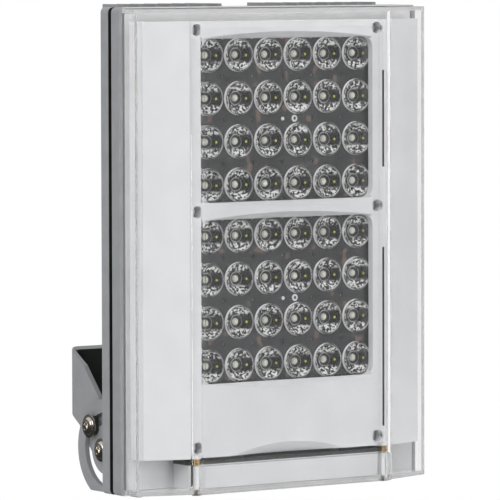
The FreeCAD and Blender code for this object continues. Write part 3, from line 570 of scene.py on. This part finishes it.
AXES = {"+x": (2, 0, 1, 1), "-x": (2, 0, 1, -1), "+y": (0, 2, 1, 1), "-y": (0, 2, 1, -1)}


def turned(points, axis):
    """Points (u, v, w) with w laid along an axis of the lamp: +x, -x, +y or -y."""
    first, second, third, sign = AXES[axis]
    signed = points * np.array([1.0, 1.0, sign])
    return signed[:, [first, second, third]]


def repeated(points, faces, places):
    """Copies of a mesh at many places: each place is added to all the points."""
    moved = points[None] + np.array(places, float)[:, None]
    numbered = faces[None] + np.arange(len(places))[:, None, None] * len(points)
    return moved.reshape(-1, 3), numbered.reshape(-1, faces.shape[1])


def joined(*meshes):
    """One mesh from several (points, faces) pairs."""
    points, faces, count = [], [], 0
    for some_points, some_faces in meshes:
        points.append(some_points)
        faces.append(some_faces + count)
        count += len(some_points)
    return np.concatenate(points), np.concatenate(faces)


def make(name, mesh, finish, body, smooth=35.0):
    """A piece from points in millimetres (across, depth, height), riding on a body."""
    points, faces = mesh
    data = bpy.data.meshes.new(name)
    world = points * MM + np.array([0.0, front_y, base_z])
    data.from_pydata(world.tolist(), [], faces.tolist())
    shape = bmesh.new()
    shape.from_mesh(data)
    bmesh.ops.remove_doubles(shape, verts=shape.verts, dist=0.000002)
    bmesh.ops.dissolve_degenerate(shape, edges=shape.edges, dist=0.000001)
    bmesh.ops.recalc_face_normals(shape, faces=shape.faces)
    shape.to_mesh(data)
    shape.free()
    data.polygons.foreach_set("use_smooth", np.ones(len(data.polygons), bool))
    data.set_sharp_from_angle(angle=math.radians(smooth))
    data.materials.append(finish)
    piece = bpy.data.objects.new(name, data)
    scene.collection.objects.link(piece)
    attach(piece, body)
    print(name, len(data.polygons), "faces")
    return piece


# %% [markdown]
# ## The panel's slots
# The white panel has two long slots at each side. Seen from the camera, those at the right look
# black and those at the left as white as the panel. So a black strip lies under each slot at the
# right as painted shade, and a white one closes each slot at the left, just under the panel's
# face, as painted light.

# %% Slot strips
panel = np.empty(len(nodes["bezel"].data.vertices) * 3)
nodes["bezel"].data.vertices.foreach_get("co", panel)
panel = (panel.reshape(-1, 3) - np.array([0.0, front_y, base_z])) / MM
# Depths of the white strips of painted light and of the black strips of painted shade
LIGHT_STRIP_DEPTHS, SHADE_STRIP_DEPTHS = (0.1, 1.0), (1.6, 1.9)


def slot_strips(name, sign, depths, finish):
    """A flat strip across each slot of one side, between two depths under the panel's front."""
    on_slot = abs(panel[:, 0] - sign * SLOT_MIDDLE) < SLOT_REACH
    on_slot &= abs(panel[:, 1] - PANEL_DEPTH) < HAIR
    ends = np.unique(panel[on_slot][:, 2].round(1))
    sides = np.unique(panel[on_slot][:, 0].round(2))
    strips = []
    for low, high in ends.reshape(-1, 2):
        around = [(sides[0], low), (sides[-1], low), (sides[-1], high), (sides[0], high)]
        corners = np.array([(x, PANEL_DEPTH + depth, z) for depth in depths for x, z in around])
        strips.append((corners, np.concatenate([grid_faces(2, 4), [[0, 1, 2, 3], [4, 5, 6, 7]]])))
    return make(name, joined(*strips), finish, "lamp")


# White strips paint light under the left slots, and black strips paint shade under the right ones.
slot_strips("slot_light_strips_left", -1, LIGHT_STRIP_DEPTHS, white_moulding)
slot_strips("slot_shade_strips_right", 1, SHADE_STRIP_DEPTHS, black_rubber)

# %% [markdown]
# ## The collimator lenses
# Each lens is a disc of clear acrylic, with a proud rim, on a flared body. Inside the body the
# flank reflects every ray that meets it, so from the front the lens looks like a silvered bowl.
# Here the flank is a slightly uneven dark surface with noisy bright patches painted on it as the
# broken reflection that shows above, below and at the left; the patches glow a little. The
# emitter's dome and the edge of its pit stand at the bottom of the bowl. A yellow point at the
# right is a painted reflection: it stands for the emitter's image in the flank.

# %% Lens places
COLUMNS, ROWS = 6, 4
WINDOW_HEIGHT, PLATE_MARGIN = 96.6, 6.0
COLUMN_SHARE, ROW_SHARE, LENS_SHARE = 0.174, 0.264, 0.467
column_pitch = COLUMN_SHARE * ((lens_high.x - lens_low.x) / MM - PLATE_MARGIN)
row_pitch = ROW_SHARE * WINDOW_HEIGHT
column = (np.arange(COLUMNS) - (COLUMNS - 1) / 2) * column_pitch
row = (np.arange(ROWS) - (ROWS - 1) / 2) * row_pitch
lens_radius = LENS_SHARE * min(column_pitch, row_pitch)
print("lens pitch", round(column_pitch, 2), "by", round(row_pitch, 2), "radius", round(lens_radius, 2))


def module_places(node, depth):
    """The lens centres of one module, as (across, depth, height) in millimetres."""
    low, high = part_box(node)
    middle = ((low.z + high.z) / 2 - base_z) / MM
    across, upwards = np.meshgrid(column, row + middle)
    return np.stack([across.ravel(), np.full(across.size, depth), upwards.ravel()], axis=-1), middle


# %% Lens surfaces
FACETS, UNEVEN = 26, 0.14


def in_radii(profile):
    """A profile whose radii are given as shares of the lens's radius."""
    return [(share * lens_radius, length) for share, length in profile]


disc_face = [(0.0, 0.5), (0.5, 0.45), (0.88, 0.3), (0.91, 0.0), (0.98, 0.0), (1.0, 0.2)]
disc = lathe(in_radii(disc_face + [(1.0, 1.45), (0.0, 1.45)]), 48)
bowl_side = [(0.93, 1.5), (0.91, 2.3), (0.86, 2.9), (0.76, 3.45), (0.66, 3.95), (0.56, 4.45)]
bowl_points, bowl_faces = lathe(in_radii(bowl_side + [(0.47, 5.0), (0.41, 5.6)]), FACETS)
uneven = np.random.default_rng(5).normal(0.0, UNEVEN, bowl_points.shape)
uneven[:FACETS] = 0.0
uneven[-FACETS:] = 0.0
bowl = bowl_points + uneven, bowl_faces
pit_edge = lathe(in_radii([(0.42, 5.6), (0.405, 5.0), (0.38, 4.9)]), 32)
pit_floor = lathe(in_radii([(0.38, 4.9), (0.36, 6.4), (0.0, 6.5)]), 32)
dome = lathe([(2.3 * math.sin(a), 6.45 - 1.9 * math.cos(a)) for a in np.linspace(0, np.pi / 2, 5)], 9)
collar = lathe(in_radii([(1.0, 0.25), (1.004, 1.2), (1.006, 2.1)]), 48)
dot = lathe([(0.0, -0.35), (0.7, -0.15), (0.85, 0.2), (0.0, 0.2)], 12)
print("lens disc", len(disc[1]), "faces, bowl", len(bowl_faces), "faces")

# %% [markdown]
# ## The lens plates
# The lenses of a block stand in a dark moulded plate. One cell of the plate is the sheet between
# a round hole and a rectangle: a point's share goes from 0 on the hole to 1 on the rectangle.
# The ejector pins of the mould leave faint rings where four cells meet, and the plate is pinned
# to its board by small white posts.


# %% Lens plate surface
def cell(hole, half_width, low, high, depth, thick, steps=48):
    """A plate cell: the hole's wall and the front and back sheets out to the rectangle."""
    angle = np.linspace(0, 2 * np.pi, steps, endpoint=False)
    cosine, sine = np.cos(angle), np.sin(angle)
    tall = np.where(sine > 0, high, -low)
    reach = np.minimum(half_width / np.maximum(abs(cosine), 1e-9), tall / np.maximum(abs(sine), 1e-9))
    inner = np.minimum(hole, reach * 0.995)
    rings = [(reach, depth), (inner, depth), (inner, depth + thick), (reach, depth + thick)]
    points = [np.stack([r * cosine, np.full(steps, w), r * sine], axis=-1) for r, w in rings]
    return np.concatenate(points), grid_faces(len(rings), steps)


def dark_plate_finish():
    """Dark resin with a gloss and the faint rings of ejector pins where four cells meet."""
    finish = Finish("plate_resin")
    cloud = finish.noise(14.0)
    fine = finish.noise(1.2, 3.0)
    across = finish.along("X").wrapped(2 * column_pitch * MM)
    upwards = finish.along("Z").wrapped(row_pitch * MM)
    distance = (across * across + upwards * upwards) ** 0.5
    ring = 1 - abs(distance - 2.1 * MM).eased(0.1 * MM, 0.4 * MM)
    amber = finish.noise(7.0, 0.0).eased(0.66, 0.78)
    resin = finish.tint(cloud.eased(0.3, 0.7), (0.017, 0.0175, 0.019), (0.03, 0.031, 0.033))
    shader = finish.surface(
        Base_Color=finish.tint(amber, resin, (0.15, 0.1, 0.078)),
        Roughness=0.36 + 0.1 * fine - 0.1 * ring,
        Normal=finish.bump(fine * 0.15 + ring, 0.08),
    )
    return finish.done(shader)


def flank_finish(side, middle):
    """A dark flank with painted reflection: bright broken patches above, below and left of the lens's
    middle.

    A point's share of the lens's radius is found by counting it from the nearest lens centre.
    """
    finish = Finish("flank_" + side)
    radius = lens_radius * MM
    across = (finish.along("X") + column_pitch * MM / 2).wrapped(column_pitch * MM) * (1 / radius)
    lowest = base_z + (middle - row_pitch / 2) * MM
    upwards = (finish.along("Z") - lowest).wrapped(row_pitch * MM) * (1 / radius)
    broken = finish.noise(1.5).eased(0.47, 0.56)
    tall = abs(upwards).eased(0.3, 0.55)
    leftward = (0 - across).eased(0.45, 0.75)
    reflection_patches = broken * tall.maths("MAXIMUM", tall, leftward)
    # Painted reflection: the patches are bright in colour and glow a little.
    shader = finish.surface(
        Base_Color=finish.tint(reflection_patches, (0.012, 0.013, 0.014), (0.85, 0.85, 0.83)),
        Roughness=0.12,
        Emission_Color=finish.tint(reflection_patches, (0.0, 0.0, 0.0), (1.0, 1.0, 0.97)),
        Emission_Strength=0.2,
    )
    return finish.done(shader)


plate_resin = dark_plate_finish()

# %% Lens modules
PLATE_SINK, PLATE_THICK, HOLE_SHARE = 2.1, 1.4, 0.94
POST_SINK, EYE_ACROSS = 2.0, 8.7
IMAGE_SHARE, IMAGE_SINK, IMAGE_DROP = 0.67, 3.6, 0.3
plate_rise = (lens_high.z - lens_low.z) / MM / 2 - HAIR
post = lathe([(0.0, -0.5), (0.85, -0.5), (1.1, -0.25), (1.1, 1.6), (0.0, 1.6)], 16)
eye = lathe([(1.0, -0.3), (1.9, -0.3), (2.1, 0.0), (2.1, 1.6), (1.0, 1.6), (1.0, -0.3)], 24)


def copies(name, mesh, places, finish, smooth=35.0):
    """Copies of a turned mesh, with its axis along the lamp's depth, as one piece of the lamp."""
    points, faces = mesh
    return make(name, repeated(turned(points, "+y"), faces, places), finish, "lamp", smooth)


def lens_plate(name, places, middle):
    """The dark plate of one module: a cell round each lens, cut off at the plate's edges."""
    hole = lens_radius * HOLE_SHARE
    depth = lens_front + PLATE_SINK
    cells = []
    for x, _, z in places:
        low = max(-row_pitch / 2, -plate_rise - (z - middle))
        high = min(row_pitch / 2, plate_rise - (z - middle))
        points, faces = cell(hole, column_pitch / 2, low, high, depth, PLATE_THICK)
        cells.append((points + np.array([x, 0.0, z]), faces))
    return make(name, joined(*cells), plate_resin, "lamp")


for side in ("upper", "lower"):
    node = "lens_array_" + side
    places, middle = module_places(node, lens_front)
    copies("lens_flanks_" + side, bowl, places, flank_finish(side, middle), smooth=1.0)
    # The pit's edge is white as a painted highlight of its rim.
    copies("lens_pits_" + side, pit_edge, places, post_white, smooth=60.0)
    copies("lens_collars_" + side, collar, places, frosted, smooth=60.0)
    copies("lens_floors_" + side, pit_floor, places, dark_resin, smooth=60.0)
    copies("emitter_domes_" + side, dome, places, cream_dome, smooth=1.0)
    discs = copies("lens_discs_" + side, disc, places, clear_acrylic)
    # Yellow dots as a painted reflection of the emitter in each flank.
    images = places + np.array([IMAGE_SHARE * lens_radius, IMAGE_SINK, -IMAGE_DROP])
    copies("phosphor_images_" + side, dot, images, phosphor)
    lens_plate("lens_plate_" + side, places, middle)
    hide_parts(node)
    depth = lens_front + POST_SINK
    posts = [(x * column_pitch, depth, middle + z * row_pitch) for x in (-2, 2) for z in (-1.5, 1.5)]
    posts.append((0.0, depth, middle))
    copies("plate_posts_" + side, post, posts, post_white)
    eye_places = [(EYE_ACROSS, lens_front + PLATE_SINK, middle)]
    copies("plate_eye_" + side, eye, eye_places, post_white)

# %% [markdown]
# ## The tilt bolts
# The lamp is held by flanged button-head bolts of stainless steel. The head is a low dome on a
# thin flange with a six-sided socket sunk in its top. One profile gives all of it: it goes up
# the flange and the dome, down the socket's wall and to the middle of its floor.

# %% Tilt bolts
SOCKET, HEAD_HEIGHT = 2.35, 3.6


def bolt_mesh(reach, rim):
    """A button head along +w from its seat at 0, its shank to -reach, its flange out to rim."""
    outside = [(0.0, -reach), (2.6, -reach), (3.0, -reach + 0.5), (3.0, 0.0)]
    flange = [(rim - 0.3, 0.0), (rim, 0.25), (rim - 0.05, 0.75), (rim - 0.45, 1.0)]
    flange += [(5.5, 1.05), (5.3, 1.25)]
    dome = [(5.25 * math.cos(a), 1.3 + 2.2 * math.sin(a)) for a in np.linspace(0.0, 1.02, 8)]
    round_points, round_faces = lathe(outside + flange + dome, 48)
    edge, height = dome[-1]
    steps = np.linspace(0, 1, 3)
    land = [(edge + (SOCKET + 0.3 - edge) * s, height + 0.12 * s) for s in steps]
    top, top_faces = lathe(land, 48)
    socket = [(SOCKET + 0.3, height + 0.12), (SOCKET, height - 0.15), (SOCKET, 1.2), (0.0, 0.7)]
    inside, inside_faces = lathe(socket, 48, 6)
    inside[:48] = top[-48:]
    return joined((round_points, round_faces), (top, top_faces), (inside, inside_faces))


for name in ("pivot_bolt_right", "pivot_bolt_left", "lock_bolt_right", "lock_bolt_left"):
    low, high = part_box(name)
    side = "+x" if high.x > 0 else "-x"
    outer = high.x if side == "+x" else low.x
    head_seat = abs(outer) / MM - HEAD_HEIGHT
    reach = (high.x - low.x) / MM - HEAD_HEIGHT
    points, faces = bolt_mesh(reach, (high.z - low.z) / MM / 2)
    middle_depth = ((low.y + high.y) / 2 - front_y) / MM
    middle_height = ((low.z + high.z) / 2 - base_z) / MM
    sign = 1 if side == "+x" else -1
    spot = np.array([sign * head_seat, middle_depth, middle_height])
    bolt = make(name + "_turned", (turned(points, side) + spot, faces), stainless, "bracket")
    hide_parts(name)

# %% [markdown]
# ## The floor
# A pale floor well below the lamp keeps its shadow off the parts. The camera sees it nearly
# white, as a lit studio sweep, with a share of its own shading near the lamp, so that it still
# shows the shadow; further off it melts into the backdrop. Through the clear parts it is white
# under and behind the lamp and dark in front, like the room, and reflections see it dark.

# %% Floor
SHADOW_SHARE = 0.22
FLOOR_REACH, FLOOR_DROP = 6.0, 0.3
floor_finish = Finish("floor_pale")
patch = floor_finish.noise(300.0)
pale = floor_finish.surface(
    Base_Color=floor_finish.tint(patch, (0.8, 0.8, 0.8), (0.84, 0.84, 0.84)), Roughness=0.8
)
glow = floor_finish.node("ShaderNodeEmission", {}, {"Color": white, "Strength": 1.0})
dim = floor_finish.node("ShaderNodeEmission", {}, {"Color": white, "Strength": ROOM_SHINE})
seen, reflected, refracted = ray_kinds(floor_finish)
across, back = floor_finish.along("X"), floor_finish.along("Y")
distance = (across * across + back * back) ** 0.5
shadow = SHADOW_SHARE * (1 - distance.eased(0.3, 1.2))
share = (1 - shadow) * seen.maths("MAXIMUM", seen, refracted)
sweep = floor_finish.node("ShaderNodeMixShader", {}, {0: share, 1: pale, 2: glow})
front = reflected.maths("MAXIMUM", reflected, refracted * (1 - back.eased(-1.8, -0.9)))
studio = floor_finish.node("ShaderNodeMixShader", {}, {0: front, 1: sweep, 2: dim})
floor_z = cad_box[0][2] - FLOOR_DROP
square = [(-1, -1), (1, -1), (1, 1), (-1, 1)]
corners = [(x * FLOOR_REACH, y * FLOOR_REACH, floor_z) for x, y in square]
floor_mesh = bpy.data.meshes.new("floor")
floor_mesh.from_pydata(corners, [], [(0, 1, 2, 3)])
floor_mesh.materials.append(floor_finish.done(studio))
floor = bpy.data.objects.new("floor", floor_mesh)
scene.collection.objects.link(floor)
